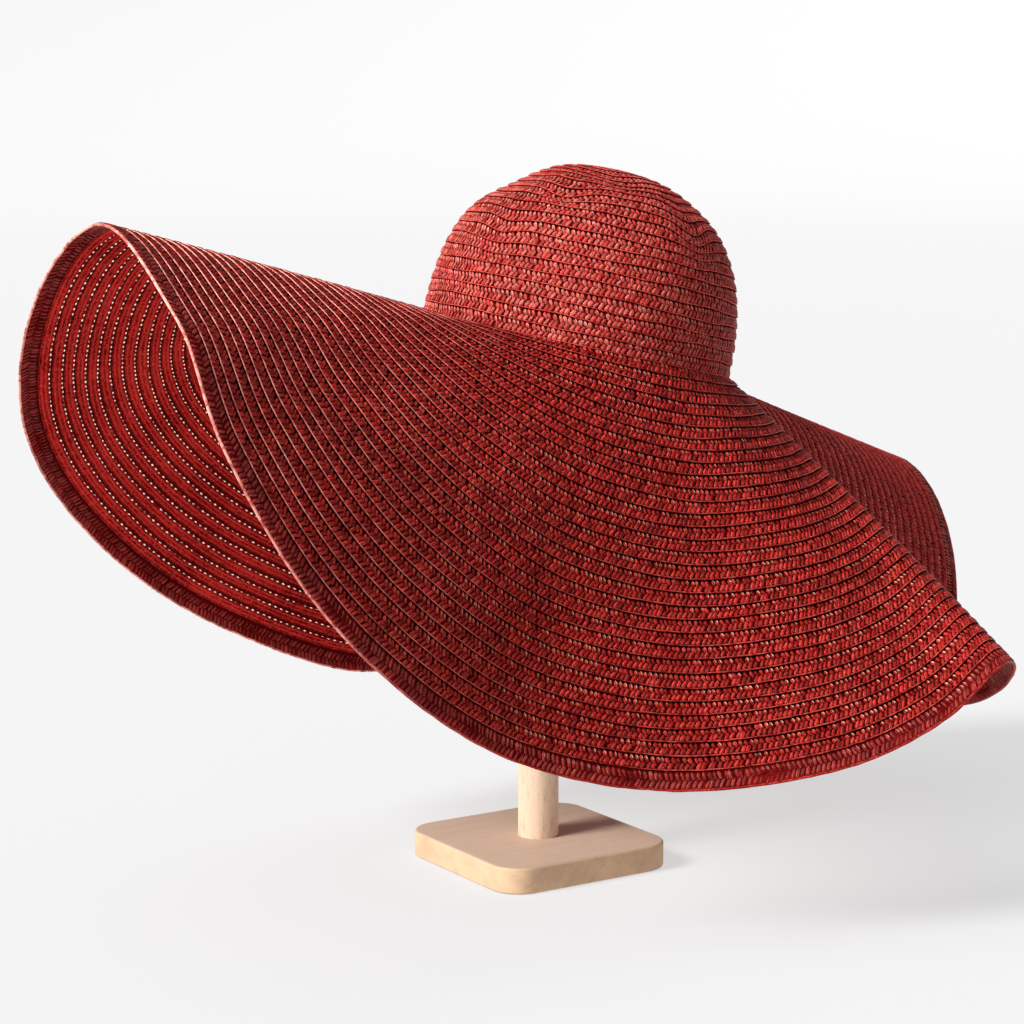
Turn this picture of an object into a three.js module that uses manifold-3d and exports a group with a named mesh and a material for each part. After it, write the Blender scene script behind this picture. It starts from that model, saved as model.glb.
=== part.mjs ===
// A very wide-brimmed straw hat resting, a little askew, on a plain wooden stand.
// Millimetres, +Z up. The origin is the middle of the foot's underside.
// Azimuths are in degrees, counter-clockwise from +X as seen from above.
import * as THREE from 'three';
import { mergeVertices } from 'three/addons/utils/BufferGeometryUtils.js';
import Module from 'manifold-3d';

// Stand
const BASE_WIDTH = 120;
const BASE_THICKNESS = 16;
const BASE_CORNER_RADIUS = 19;
const BASE_EDGE_ROUND = 1.6;
const BASE_TURN = 33;
const SOCKET_DEPTH = 10;
const POST_DIAMETER = 24.6;
const POST_EDGE_ROUND = 1.2;
const POST_RISE = 364.5;
const REST_DIAMETER = 64;
const REST_HEIGHT = 30;
const REST_BORE_DEPTH = 14;
const REST_EDGE_ROUND = 2;

// Hat
const CROWN_RADIUS = 92;
const CROWN_HEIGHT = 105;
const CROWN_FULLNESS = 2.45;
const BRIM_WIDTH = 248;
const BRIM_CURL = 1.5;
const STRAW_THICKNESS = 1.8;
const EDGE_BAND_WIDTH = 11;
const EDGE_BAND_THICKNESS = 2.8;
const LEAN_RIGHT = 12;
const LEAN_BACK = 5;
const CROWN_OFFSET_RIGHT = 22;
const CROWN_OFFSET_BACK = 4;

// Clearances: between sewn straw pieces, of a post in its socket, and of the hat over its rest
const SEAM_GAP = 0.3;
const SOCKET_GAP = 0.3;
const SEAT_GAP = 0.3;

// Fineness of the faceted solids
const BRIM_SIDES = 96;
const BRIM_RINGS = 13;
const EDGE_RINGS = 2;
const BRIM_PACES = 120;
const CROWN_SIDES = 48;
const CROWN_RINGS = 12;
const ROUND_SIDES = 32;
const CORNER_SIDES = 6;
const BEVEL_STEPS = 2;
const DOME_STEPS = 8;
const SEAT_SAMPLES = 6;

// How the brim leaves the crown and hangs, in degrees at each azimuth of the crown's foot:
// its slope where it starts, its slope at the edge, and how far it turns sideways on its way out.
const BRIM_FALL = [
  { azimuth: 16, rootSlope: -37, edgeSlope: -45, sideTurn: -12 },
  { azimuth: 42, rootSlope: -8, edgeSlope: -6, sideTurn: 6 },
  { azimuth: 65, rootSlope: -14, edgeSlope: -40, sideTurn: 0 },
  { azimuth: 95, rootSlope: -40, edgeSlope: -80, sideTurn: 25 },
  { azimuth: 120, rootSlope: -53, edgeSlope: -88, sideTurn: 50 },
  { azimuth: 145, rootSlope: -42, edgeSlope: -75, sideTurn: 56 },
  { azimuth: 170, rootSlope: -26, edgeSlope: -49, sideTurn: 35 },
  { azimuth: 193, rootSlope: -8, edgeSlope: -28, sideTurn: 20 },
  { azimuth: 213, rootSlope: 3, edgeSlope: 1, sideTurn: 15 },
  { azimuth: 228, rootSlope: -1, edgeSlope: -11, sideTurn: 12 },
  { azimuth: 240, rootSlope: -10, edgeSlope: -28, sideTurn: -2 },
  { azimuth: 262, rootSlope: -32, edgeSlope: -58, sideTurn: -24 },
  { azimuth: 282, rootSlope: -48, edgeSlope: -76, sideTurn: -34 },
  { azimuth: 305, rootSlope: -54, edgeSlope: -74, sideTurn: -25 },
  { azimuth: 325, rootSlope: -43, edgeSlope: -60, sideTurn: -18 },
  { azimuth: 343, rootSlope: -35, edgeSlope: -44, sideTurn: -34 },
  { azimuth: 356, rootSlope: -33, edgeSlope: -27, sideTurn: -46 },
];

// Shallow dents of the crown: where they lie round it and along its profile (0 at the foot, 1 at
// the tip), how deep they are as a share of the crown's radius, and how far they spread.
const CROWN_DENTS = [
  { azimuth: 195, rise: 0.62, depth: 0.055, spread: 38, reach: 0.14 },
  { azimuth: 262, rise: 0.78, depth: 0.03, spread: 30, reach: 0.07 },
  { azimuth: 330, rise: 0.66, depth: 0.025, spread: 22, reach: 0.08 },
  { azimuth: 80, rise: 0.7, depth: 0.035, spread: 45, reach: 0.12 },
];

const wasm = await Module();
wasm.setup();

const radians = THREE.MathUtils.degToRad;

// Smooth value of a table's column at an azimuth, with the table closed round the hat.
function aroundTable(table, column, azimuth) {
  const count = table.length;
  const row = (index) => {
    const turns = Math.floor(index / count);
    const entry = table[index - turns * count];
    return { at: entry.azimuth + 360 * turns, value: entry[column] };
  };
  const start = table[0].azimuth;
  const angle = start + THREE.MathUtils.euclideanModulo(azimuth - start, 360);
  let index = 0;
  while (row(index + 1).at <= angle) index += 1;
  const [before, left, right, after] = [row(index - 1), row(index), row(index + 1), row(index + 2)];
  const span = right.at - left.at;
  const t = (angle - left.at) / span;
  const slopeLeft = (span * (right.value - before.value)) / (right.at - before.at);
  const slopeRight = (span * (after.value - left.value)) / (after.at - left.at);
  return (
    (2 * t ** 3 - 3 * t ** 2 + 1) * left.value +
    (t ** 3 - 2 * t ** 2 + t) * slopeLeft +
    (3 * t ** 2 - 2 * t ** 3) * right.value +
    (t ** 3 - t ** 2) * slopeRight
  );
}

// Points on the middle of the brim along one azimuth, at the given distances from the crown.
function brimLine(azimuth, distances) {
  const rootSlope = aroundTable(BRIM_FALL, 'rootSlope', azimuth);
  const edgeSlope = aroundTable(BRIM_FALL, 'edgeSlope', azimuth);
  const sideTurn = aroundTable(BRIM_FALL, 'sideTurn', azimuth);
  const pace = BRIM_WIDTH / BRIM_PACES;
  const foot = radians(azimuth);
  const at = new THREE.Vector3(CROWN_RADIUS * Math.cos(foot), CROWN_RADIUS * Math.sin(foot), 0);
  const points = [];
  let walked = 0;
  for (const distance of distances) {
    const steps = Math.max(1, Math.ceil((distance - walked) / pace));
    const step = (distance - walked) / steps;
    for (let count = 0; count < steps; count += 1) {
      const share = Math.min(1, (walked + step / 2) / BRIM_WIDTH);
      const eased = 1 - (1 - share) ** BRIM_CURL;
      const slope = radians(rootSlope + (edgeSlope - rootSlope) * eased);
      const heading = radians(azimuth + sideTurn * eased);
      at.x += step * Math.cos(slope) * Math.cos(heading);
      at.y += step * Math.cos(slope) * Math.sin(heading);
      at.z += step * Math.sin(slope);
      walked += step;
    }
    points.push(at.clone());
  }
  return points;
}

// Rings of the brim's middle surface between two distances from the crown.
function brimRings(from, to, ringCount) {
  const distances = [];
  for (let ring = 0; ring <= ringCount; ring += 1) distances.push(from + ((to - from) * ring) / ringCount);
  const rings = distances.map(() => []);
  for (let side = 0; side < BRIM_SIDES; side += 1) {
    brimLine((360 * side) / BRIM_SIDES, distances).forEach((point, ring) => rings[ring].push(point));
  }
  return rings;
}

// The crown's profile as radius and height, with points evenly spaced along its length.
function crownProfile(ringCount) {
  const fineSteps = 720;
  const fine = [];
  let length = 0;
  for (let step = 0; step <= fineSteps; step += 1) {
    const angle = ((Math.PI / 2) * step) / fineSteps;
    const radius = CROWN_RADIUS * Math.max(0, Math.cos(angle)) ** (2 / CROWN_FULLNESS);
    const height = CROWN_HEIGHT * Math.sin(angle) ** (2 / CROWN_FULLNESS);
    const last = fine.at(-1);
    if (last) length += Math.hypot(radius - last.radius, height - last.height);
    fine.push({ radius, height, length });
  }
  const profile = [];
  for (let ring = 0; ring <= ringCount; ring += 1) {
    const wanted = (length * ring) / ringCount;
    profile.push(fine.find((point) => point.length >= wanted - 1e-9));
  }
  return profile;
}

// How far the crown is pressed in at an azimuth and a share of its profile.
function dentDepth(azimuth, rise) {
  let depth = 0;
  for (const dent of CROWN_DENTS) {
    const aside = THREE.MathUtils.euclideanModulo(azimuth - dent.azimuth + 180, 360) - 180;
    const along = rise - dent.rise;
    depth += dent.depth * CROWN_RADIUS * Math.exp(-((aside / dent.spread) ** 2) - (along / dent.reach) ** 2);
  }
  return depth;
}

// Rings of the crown's middle surface; its foot stands clear of the brim's root.
function crownRings() {
  const lift = STRAW_THICKNESS / 2 + SEAM_GAP;
  const profile = crownProfile(CROWN_RINGS);
  const rings = profile.slice(0, -1).map((point, ring) => {
    const next = profile[ring + 1];
    const inward = Math.atan2(next.height - point.height, point.radius - next.radius);
    const circle = [];
    for (let side = 0; side < CROWN_SIDES; side += 1) {
      const azimuth = (360 * side) / CROWN_SIDES;
      const depth = dentDepth(azimuth, ring / CROWN_RINGS);
      const radius = point.radius - depth * Math.sin(inward);
      const height = ring === 0 ? lift : point.height - depth * Math.cos(inward);
      circle.push(new THREE.Vector3(
        radius * Math.cos(radians(azimuth)),
        radius * Math.sin(radians(azimuth)),
        height,
      ));
    }
    return circle;
  });
  rings.push([new THREE.Vector3(0, 0, profile.at(-1).height)]);
  return rings;
}

// The unit normal of a ringed surface at each of its points.
function ringNormals(rings) {
  return rings.map((circle, ring) => circle.map((point, side) => {
    if (circle.length === 1) return new THREE.Vector3(0, 0, 1);
    const count = circle.length;
    const round = circle[(side + 1) % count].clone().sub(circle[(side + count - 1) % count]);
    const ahead = rings[Math.min(ring + 1, rings.length - 1)];
    const behind = rings[Math.max(ring - 1, 0)];
    const along = ahead[side % ahead.length].clone().sub(behind[side % behind.length]);
    return round.cross(along).normalize();
  }));
}

// A closed wall of the given thickness about a ringed surface. A last ring of one point is a tip.
function wallGeometry(rings, thickness) {
  const normals = ringNormals(rings);
  const positions = [];
  const indices = [];
  const layer = (offset) => rings.map((circle, ring) => circle.map((point, side) => {
    const moved = point.clone().addScaledVector(normals[ring][side], offset);
    positions.push(moved.x, moved.y, moved.z);
    return positions.length / 3 - 1;
  }));
  const front = layer(thickness / 2);
  const back = layer(-thickness / 2);
  const quad = (a, b, c, d) => indices.push(a, b, c, a, c, d);
  const lastRing = rings.length - 1;
  const count = rings[0].length;
  for (let side = 0; side < count; side += 1) {
    const next = (side + 1) % count;
    for (let ring = 0; ring < lastRing; ring += 1) {
      if (rings[ring + 1].length === 1) {
        indices.push(front[ring][side], front[ring][next], front[ring + 1][0]);
        indices.push(back[ring][next], back[ring][side], back[ring + 1][0]);
      } else {
        quad(front[ring][side], front[ring][next], front[ring + 1][next], front[ring + 1][side]);
        quad(back[ring][next], back[ring][side], back[ring + 1][side], back[ring + 1][next]);
      }
    }
    quad(front[0][side], back[0][side], back[0][next], front[0][next]);
    if (rings[lastRing].length > 1) {
      quad(front[lastRing][next], back[lastRing][next], back[lastRing][side], front[lastRing][side]);
    }
  }
  const geometry = new THREE.BufferGeometry();
  geometry.setAttribute('position', new THREE.Float32BufferAttribute(positions, 3));
  geometry.setIndex(indices);
  return geometry;
}

// Joins and cuts work on solids with shared vertices.
function toSolid(geometry) {
  const bare = geometry.clone();
  bare.deleteAttribute('normal');
  bare.deleteAttribute('uv');
  const merged = mergeVertices(bare);
  return new wasm.Manifold(new wasm.Mesh({
    numProp: 3,
    vertProperties: new Float32Array(merged.attributes.position.array),
    triVerts: new Uint32Array(merged.index.array),
  }));
}

function fromSolid(solid) {
  const mesh = solid.getMesh();
  const geometry = new THREE.BufferGeometry();
  geometry.setAttribute('position', new THREE.Float32BufferAttribute(mesh.vertProperties, 3));
  geometry.setIndex(Array.from(mesh.triVerts));
  return geometry;
}

// A turned piece from a profile of [radius, height] points that starts and ends on the axis.
function turned(profile) {
  const points = profile.map(([radius, height]) => new THREE.Vector2(radius, height));
  return new THREE.LatheGeometry(points, ROUND_SIDES).rotateX(Math.PI / 2);
}

// The square foot, its edges softened, with a blind socket for the post.
function standBaseGeometry() {
  const half = BASE_WIDTH / 2 - BASE_EDGE_ROUND;
  const corner = BASE_CORNER_RADIUS - BASE_EDGE_ROUND;
  const outline = new THREE.Shape();
  for (let quarter = 0; quarter < 4; quarter += 1) {
    const toCorner = radians(45 + 90 * quarter);
    const reach = Math.SQRT2 * (half - corner);
    outline.absarc(
      reach * Math.cos(toCorner),
      reach * Math.sin(toCorner),
      corner,
      radians(90 * quarter),
      radians(90 * quarter + 90),
      false,
    );
  }
  const slab = new THREE.ExtrudeGeometry(outline, {
    depth: BASE_THICKNESS - 2 * BASE_EDGE_ROUND,
    bevelThickness: BASE_EDGE_ROUND,
    bevelSize: BASE_EDGE_ROUND,
    bevelSegments: BEVEL_STEPS,
    curveSegments: CORNER_SIDES,
  }).translate(0, 0, BASE_EDGE_ROUND);
  const socketRadius = POST_DIAMETER / 2 + SOCKET_GAP;
  const socket = new THREE.CylinderGeometry(socketRadius, socketRadius, 2 * SOCKET_DEPTH, ROUND_SIDES)
    .rotateX(Math.PI / 2)
    .translate(0, 0, BASE_THICKNESS);
  return fromSolid(toSolid(slab).subtract(toSolid(socket)));
}

// The post stands in the foot's socket and ends inside the rest's bore.
function standPostGeometry() {
  const bottom = BASE_THICKNESS - SOCKET_DEPTH + SOCKET_GAP;
  const top = BASE_THICKNESS + POST_RISE + REST_BORE_DEPTH - SOCKET_GAP;
  const radius = POST_DIAMETER / 2;
  return turned([
    [0, bottom],
    [radius - POST_EDGE_ROUND, bottom],
    [radius, bottom + POST_EDGE_ROUND],
    [radius, top - POST_EDGE_ROUND],
    [radius - POST_EDGE_ROUND, top],
    [0, top],
  ]);
}

// Height of the rest's dome above its underside at a distance from its axis.
function restHeightAt(distance) {
  const share = Math.min(1, distance / (REST_DIAMETER / 2));
  return REST_EDGE_ROUND + (REST_HEIGHT - REST_EDGE_ROUND) * Math.sqrt(1 - share ** 2);
}

// The domed rest on the post, bored from below to take the post's end.
function hatRestGeometry() {
  const radius = REST_DIAMETER / 2;
  const bore = POST_DIAMETER / 2 + SOCKET_GAP;
  const underside = BASE_THICKNESS + POST_RISE;
  const profile = [
    [0, underside + REST_BORE_DEPTH],
    [bore, underside + REST_BORE_DEPTH],
    [bore, underside],
    [radius - REST_EDGE_ROUND, underside],
  ];
  for (let step = 0; step < DOME_STEPS; step += 1) {
    const distance = radius * Math.cos(((Math.PI / 2) * step) / DOME_STEPS);
    profile.push([distance, underside + restHeightAt(distance)]);
  }
  profile.push([0, underside + restHeightAt(0)]);
  return turned(profile);
}

// How high the hat's own origin stands, so that the crown's inner wall clears the rest's dome.
function hatHeight(crownGeometry, turn) {
  const underside = BASE_THICKNESS + POST_RISE;
  const position = crownGeometry.attributes.position;
  const corner = new THREE.Vector3();
  const triangle = [];
  let height = 0;
  for (let entry = 0; entry < crownGeometry.index.count; entry += 1) {
    corner.fromBufferAttribute(position, crownGeometry.index.getX(entry)).applyEuler(turn);
    triangle[entry % 3] = corner.clone();
    if (entry % 3 < 2) continue;
    for (let first = 0; first <= SEAT_SAMPLES; first += 1) {
      for (let second = 0; first + second <= SEAT_SAMPLES; second += 1) {
        const point = new THREE.Vector3()
          .addScaledVector(triangle[0], first / SEAT_SAMPLES)
          .addScaledVector(triangle[1], second / SEAT_SAMPLES)
          .addScaledVector(triangle[2], 1 - (first + second) / SEAT_SAMPLES);
        const distance = Math.hypot(point.x + CROWN_OFFSET_RIGHT, point.y + CROWN_OFFSET_BACK);
        if (distance > REST_DIAMETER / 2) continue;
        height = Math.max(height, underside + restHeightAt(distance) - point.z);
      }
    }
  }
  return height + SEAT_GAP;
}

function piece(name, geometry, color, roughness) {
  const mesh = new THREE.Mesh(geometry, new THREE.MeshStandardMaterial({ color, roughness, metalness: 0 }));
  mesh.name = name;
  return mesh;
}

// The stand, turned so that one of its faces looks a little to the left
const stand = new THREE.Group();
stand.add(
  piece('stand_base', standBaseGeometry(), 0xd9b99c, 0.6),
  piece('stand_post', standPostGeometry(), 0xe4cba8, 0.55),
  piece('hat_rest', hatRestGeometry(), 0xdfc3a0, 0.6),
);
stand.rotation.z = radians(BASE_TURN);

// The hat in its own frame, origin in the middle of the crown's foot, then leant over the rest
const crown = wallGeometry(crownRings(), STRAW_THICKNESS);
const bandStart = BRIM_WIDTH - EDGE_BAND_WIDTH;
const brim = wallGeometry(brimRings(0, bandStart - SEAM_GAP, BRIM_RINGS), STRAW_THICKNESS);
const brimEdge = wallGeometry(brimRings(bandStart, BRIM_WIDTH, EDGE_RINGS), EDGE_BAND_THICKNESS);
const hat = new THREE.Group();
hat.add(
  piece('crown', crown, 0xb5363a, 0.8),
  piece('brim', brim, 0xa52a30, 0.8),
  piece('brim_edge', brimEdge, 0x9c262c, 0.8),
);
hat.rotation.set(radians(-LEAN_BACK), radians(LEAN_RIGHT), 0, 'XYZ');
hat.position.set(CROWN_OFFSET_RIGHT, CROWN_OFFSET_BACK, hatHeight(crown, hat.rotation));

const hatOnStand = new THREE.Group();
hatOnStand.add(stand, hat);

export default hatOnStand;
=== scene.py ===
# %% [markdown]
# # A floppy straw hat on a wooden stand
#
# The hat is one long straw plait, sewn row over row from the tip of the crown to the edge of the brim.
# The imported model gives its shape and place. This lesson adds what makes it look like straw: the rows
# that lap over each other, the woven straws of each row, the folded rims, the bound edge and the wood.

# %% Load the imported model
import math

import bpy
import numpy as np
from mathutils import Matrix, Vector


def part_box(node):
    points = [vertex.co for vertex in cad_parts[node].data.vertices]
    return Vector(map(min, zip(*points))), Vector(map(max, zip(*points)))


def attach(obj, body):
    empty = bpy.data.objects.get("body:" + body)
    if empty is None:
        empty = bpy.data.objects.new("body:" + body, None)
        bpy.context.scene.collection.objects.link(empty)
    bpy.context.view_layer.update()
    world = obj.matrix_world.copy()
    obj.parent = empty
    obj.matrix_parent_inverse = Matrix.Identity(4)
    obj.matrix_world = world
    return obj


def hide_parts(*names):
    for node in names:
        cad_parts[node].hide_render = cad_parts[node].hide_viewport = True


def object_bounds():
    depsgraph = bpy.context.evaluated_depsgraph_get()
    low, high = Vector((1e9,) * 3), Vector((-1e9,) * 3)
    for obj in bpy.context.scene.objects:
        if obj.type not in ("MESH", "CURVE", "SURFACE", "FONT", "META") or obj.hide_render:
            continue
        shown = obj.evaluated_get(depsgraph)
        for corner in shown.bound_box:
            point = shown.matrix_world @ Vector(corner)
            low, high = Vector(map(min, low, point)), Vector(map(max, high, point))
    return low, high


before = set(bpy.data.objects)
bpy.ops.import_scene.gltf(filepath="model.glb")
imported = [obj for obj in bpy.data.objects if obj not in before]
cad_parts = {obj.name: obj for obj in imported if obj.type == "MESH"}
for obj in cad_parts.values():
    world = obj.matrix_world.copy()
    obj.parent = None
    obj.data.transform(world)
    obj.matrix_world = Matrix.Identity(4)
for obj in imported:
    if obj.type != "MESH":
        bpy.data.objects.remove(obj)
cad_box = [list(corner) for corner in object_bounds()]
print("packed model", [round(value, 3) for corner in cad_box for value in corner])

# %% [markdown]
# ## The camera
#
# It stands 1.6 m in front of the stand at the height of the crown and looks down by 8.65 degrees.
# It comes first, so that each later step can be looked at from the right place.

# %% Place the camera
CAMERA_PLACE = (-0.016, -1.6, 0.458)
CAMERA_DOWN = math.radians(8.65)
CAMERA_LENS = 95.0
SENSOR_WIDTH = 36.0
CAMERA_REACH = 100.0

scene = bpy.context.scene


def add_object(name, data):
    made = bpy.data.objects.new(name, data)
    scene.collection.objects.link(made)
    return made


camera_data = bpy.data.cameras.new("camera")
camera_data.lens = CAMERA_LENS
camera_data.sensor_width = SENSOR_WIDTH
camera_data.clip_end = CAMERA_REACH
camera = add_object("camera", camera_data)
camera.location = CAMERA_PLACE
camera.rotation_euler = (math.pi / 2 - CAMERA_DOWN, 0.0, 0.0)
scene.camera = camera
print("camera at", CAMERA_PLACE)

# %% [markdown]
# ## The sizes and the table of the brim
#
# These are the model's own values, in metres and degrees, written once more because the script reads
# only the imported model. Each row of the table says how the brim leaves the crown and how it hangs.

# %% Sizes of the hat
CROWN_RADIUS = 0.092
CROWN_HEIGHT = 0.105
CROWN_FULLNESS = 2.45
BRIM_WIDTH = 0.248
BRIM_CURL = 1.5
EDGE_BAND_WIDTH = 0.011
LEAN_RIGHT = math.radians(12)
LEAN_BACK = math.radians(5)
CROWN_OFFSET = (0.022, 0.004)

# Azimuth, slope at the crown, slope at the edge, sideways turn
BRIM_FALL = np.array([
    (16, -37, -45, -12),
    (42, -8, -6, 6),
    (65, -14, -40, 0),
    (95, -40, -80, 25),
    (120, -53, -88, 50),
    (145, -42, -75, 56),
    (170, -26, -49, 35),
    (193, -8, -28, 20),
    (213, 3, 1, 15),
    (228, -1, -11, 12),
    (240, -10, -28, -2),
    (262, -32, -58, -24),
    (282, -48, -76, -34),
    (305, -54, -74, -25),
    (325, -43, -60, -18),
    (343, -35, -44, -34),
    (356, -33, -27, -46),
], float)

# Azimuth, place up the profile, depth as a share of the radius, spread in degrees, reach up the profile
CROWN_DENTS = [
    (195, 0.62, 0.055, 38, 0.14),
    (262, 0.78, 0.03, 30, 0.07),
    (330, 0.66, 0.025, 22, 0.08),
    (80, 0.7, 0.035, 45, 0.12),
]

# %% [markdown]
# ## One lattice of points for the crown and one for the brim
#
# Everything on the hat follows the same two surfaces, so each is worked out once as a fine lattice:
# one line of points for each step outwards from the tip, one point for each half degree round the hat.
# A piece then asks the lattice for a place, and gets the point and the direction that faces outwards.

# %% Smooth values round the table
def around_table(column, azimuth):
    count = len(BRIM_FALL)
    start = BRIM_FALL[0, 0]
    angle = (azimuth - start) % 360 + start
    left = np.searchsorted(BRIM_FALL[:, 0], angle, side="right") - 1

    def row(index):
        turns, entry = np.divmod(index, count)
        return BRIM_FALL[entry, 0] + 360 * turns, BRIM_FALL[entry, column]

    before, here, there, after = row(left - 1), row(left), row(left + 1), row(left + 2)
    span = there[0] - here[0]
    t = (angle - here[0]) / span
    slope_here = span * (there[1] - before[1]) / (there[0] - before[0])
    slope_there = span * (after[1] - here[1]) / (after[0] - here[0])
    return ((2 * t**3 - 3 * t**2 + 1) * here[1] + (t**3 - 2 * t**2 + t) * slope_here
            + (3 * t**2 - 2 * t**3) * there[1] + (t**3 - t**2) * slope_there)


# %% The lattices in the hat's own frame
AZIMUTHS = 720
BRIM_PACES = 240
CROWN_PACES = 200
PROFILE_SAMPLES = 2001
lattice_azimuth = np.arange(AZIMUTHS) * 360 / AZIMUTHS
foot_angle = np.radians(lattice_azimuth)


def brim_lattice():
    root, edge, turn = (around_table(column, lattice_azimuth) for column in (1, 2, 3))
    at = np.stack([CROWN_RADIUS * np.cos(foot_angle), CROWN_RADIUS * np.sin(foot_angle), 0 * foot_angle], 1)
    lines = [at.copy()]
    pace = BRIM_WIDTH / BRIM_PACES
    for step in range(BRIM_PACES):
        eased = 1 - (1 - (step + 0.5) / BRIM_PACES) ** BRIM_CURL
        slope = np.radians(root + (edge - root) * eased)
        heading = np.radians(lattice_azimuth + turn * eased)
        flat = pace * np.cos(slope)
        at = at + np.stack([flat * np.cos(heading), flat * np.sin(heading), pace * np.sin(slope)], 1)
        lines.append(at.copy())
    return np.array(lines)


def crown_profile():
    angle = np.linspace(0, np.pi / 2, PROFILE_SAMPLES)
    radius = CROWN_RADIUS * np.cos(angle).clip(0) ** (2 / CROWN_FULLNESS)
    height = CROWN_HEIGHT * np.sin(angle) ** (2 / CROWN_FULLNESS)
    length = np.concatenate([[0], np.cumsum(np.hypot(np.diff(radius), np.diff(height)))])
    wanted = np.linspace(0, length[-1], CROWN_PACES + 1)
    return np.interp(wanted, length, radius), np.interp(wanted, length, height), length[-1]


def crown_lattice():
    radius, height, _ = crown_profile()
    inward = np.arctan2(np.gradient(height), -np.gradient(radius))
    rise = np.linspace(0, 1, CROWN_PACES + 1)[:, None]
    depth = np.zeros((CROWN_PACES + 1, AZIMUTHS))
    for azimuth, place, share, spread, reach in CROWN_DENTS:
        aside = (lattice_azimuth - azimuth + 180) % 360 - 180
        fading = -((aside / spread) ** 2)[None, :] - ((rise - place) / reach) ** 2
        depth += share * CROWN_RADIUS * np.exp(fading)
    ring = radius[:, None] - depth * np.sin(inward)[:, None]
    up = height[:, None] - depth * np.cos(inward)[:, None]
    ring[-1] = 0
    up[-1] = up[-1].mean()
    up[0] = 0
    points = np.stack([ring * np.cos(foot_angle), ring * np.sin(foot_angle), up], 2)
    return points[::-1]


brim_points = brim_lattice()
crown_points = crown_lattice()
print("crown profile", round(crown_profile()[2] * 1000, 1), "mm from foot to tip")

# %% [markdown]
# ## Setting the hat on the stand
#
# The hat leans 12 degrees to the right and 5 degrees back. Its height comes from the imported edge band:
# the middle of the outer lines of the lattice goes to the middle of that piece's box.

# %% Lean and place the lattices
EDGE_LINES = 12


def lean(points):
    right_cos, right_sin = math.cos(LEAN_RIGHT), math.sin(LEAN_RIGHT)
    back_cos, back_sin = math.cos(LEAN_BACK), math.sin(LEAN_BACK)
    about_y = np.array([[right_cos, 0, right_sin], [0, 1, 0], [-right_sin, 0, right_cos]])
    about_x = np.array([[1, 0, 0], [0, back_cos, back_sin], [0, -back_sin, back_cos]])
    return points @ (about_x @ about_y).T


brim_leant = lean(brim_points)
crown_leant = lean(crown_points)
brim_low, brim_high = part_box("brim_edge")
edge_heights = brim_leant[-EDGE_LINES:, :, 2]
hat_height = (brim_low[2] + brim_high[2]) / 2 - (edge_heights.min() + edge_heights.max()) / 2
hat_place = np.array([CROWN_OFFSET[0], CROWN_OFFSET[1], hat_height])
print("hat stands at height", round(hat_height * 1000, 1), "mm")

# %% A surface that can be asked for places
SMALLEST_STEP = 1e-12
TIP_STEP = 1e-9
CHECKED_POINTS = 300


class Surface:
    """A lattice that gives points, outward directions and lengths at any share outwards and any azimuth."""

    def __init__(self, points):
        self.points = points
        self.paces = len(points) - 1
        round_step = np.roll(points, -1, 1) - np.roll(points, 1, 1)
        out_step = np.gradient(points, axis=0)
        normal = np.cross(out_step, round_step)
        size = np.linalg.norm(normal, axis=2, keepdims=True)
        normal = normal / np.maximum(size, SMALLEST_STEP)
        tip = size[:, :, 0].max(1) < TIP_STEP
        normal[tip] = normal[np.argmin(tip) if tip[0] else 0].mean(0)
        self.normals = normal / np.linalg.norm(normal, axis=2, keepdims=True)
        closed = np.concatenate([points, points[:, :1]], 1)
        self.ring_length = np.linalg.norm(np.diff(closed, axis=1), axis=2).sum(1)

    def _read(self, values, share, azimuth):
        line = np.clip(share, 0, 1) * self.paces
        low = np.minimum(line.astype(int), self.paces - 1)
        out = (line - low)[..., None]
        turn = azimuth % 360 * AZIMUTHS / 360
        left = turn.astype(int) % AZIMUTHS
        right = (left + 1) % AZIMUTHS
        side = (turn - np.floor(turn))[..., None]
        near = values[low, left] * (1 - side) + values[low, right] * side
        far = values[low + 1, left] * (1 - side) + values[low + 1, right] * side
        return near * (1 - out) + far * out

    def at(self, share, azimuth, offset=0.0):
        share, azimuth, offset = np.broadcast_arrays(np.asarray(share, float), azimuth, offset)
        return self._read(self.points, share, azimuth) + offset[..., None] * self.facing(share, azimuth)

    def facing(self, share, azimuth):
        normal = self._read(self.normals, share, azimuth)
        return normal / np.linalg.norm(normal, axis=-1, keepdims=True)

    def ring(self, share):
        return float(np.interp(share * self.paces, np.arange(self.paces + 1), self.ring_length))

    def way_round(self, share):
        azimuth = np.arange(AZIMUTHS + 1) * 360 / AZIMUTHS
        line = self._read(self.points, np.full(AZIMUTHS + 1, share), azimuth)
        way = np.concatenate([[0], np.cumsum(np.linalg.norm(np.diff(line, axis=0), axis=1))])
        return azimuth, way / way[-1]


brim = Surface(brim_leant + hat_place)
crown = Surface(crown_leant + hat_place)


def model_distance(node, surface):
    corners = np.array([vertex.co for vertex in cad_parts[node].data.vertices])
    lattice = surface.points.reshape(-1, 3)
    sample = corners[:: max(1, len(corners) // CHECKED_POINTS)]
    return max(np.linalg.norm(lattice - corner, axis=1).min() for corner in sample)


print("brim model lies within", round(model_distance("brim", brim) * 1000, 2), "mm of the lattice")
print("crown model lies within", round(model_distance("crown", crown) * 1000, 2), "mm of the lattice")

# %% [markdown]
# ## Rows of plait
#
# The crown has 22 rows of about 7 mm and the brim 31 rows of nearly 8 mm, with a wider bound row outside.
# Each row laps over the next one outwards, like a roof shingle: its inner edge is tucked in and its
# outer edge stands proud. The rows also wander a little, because they are sewn by hand and eye.

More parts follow.
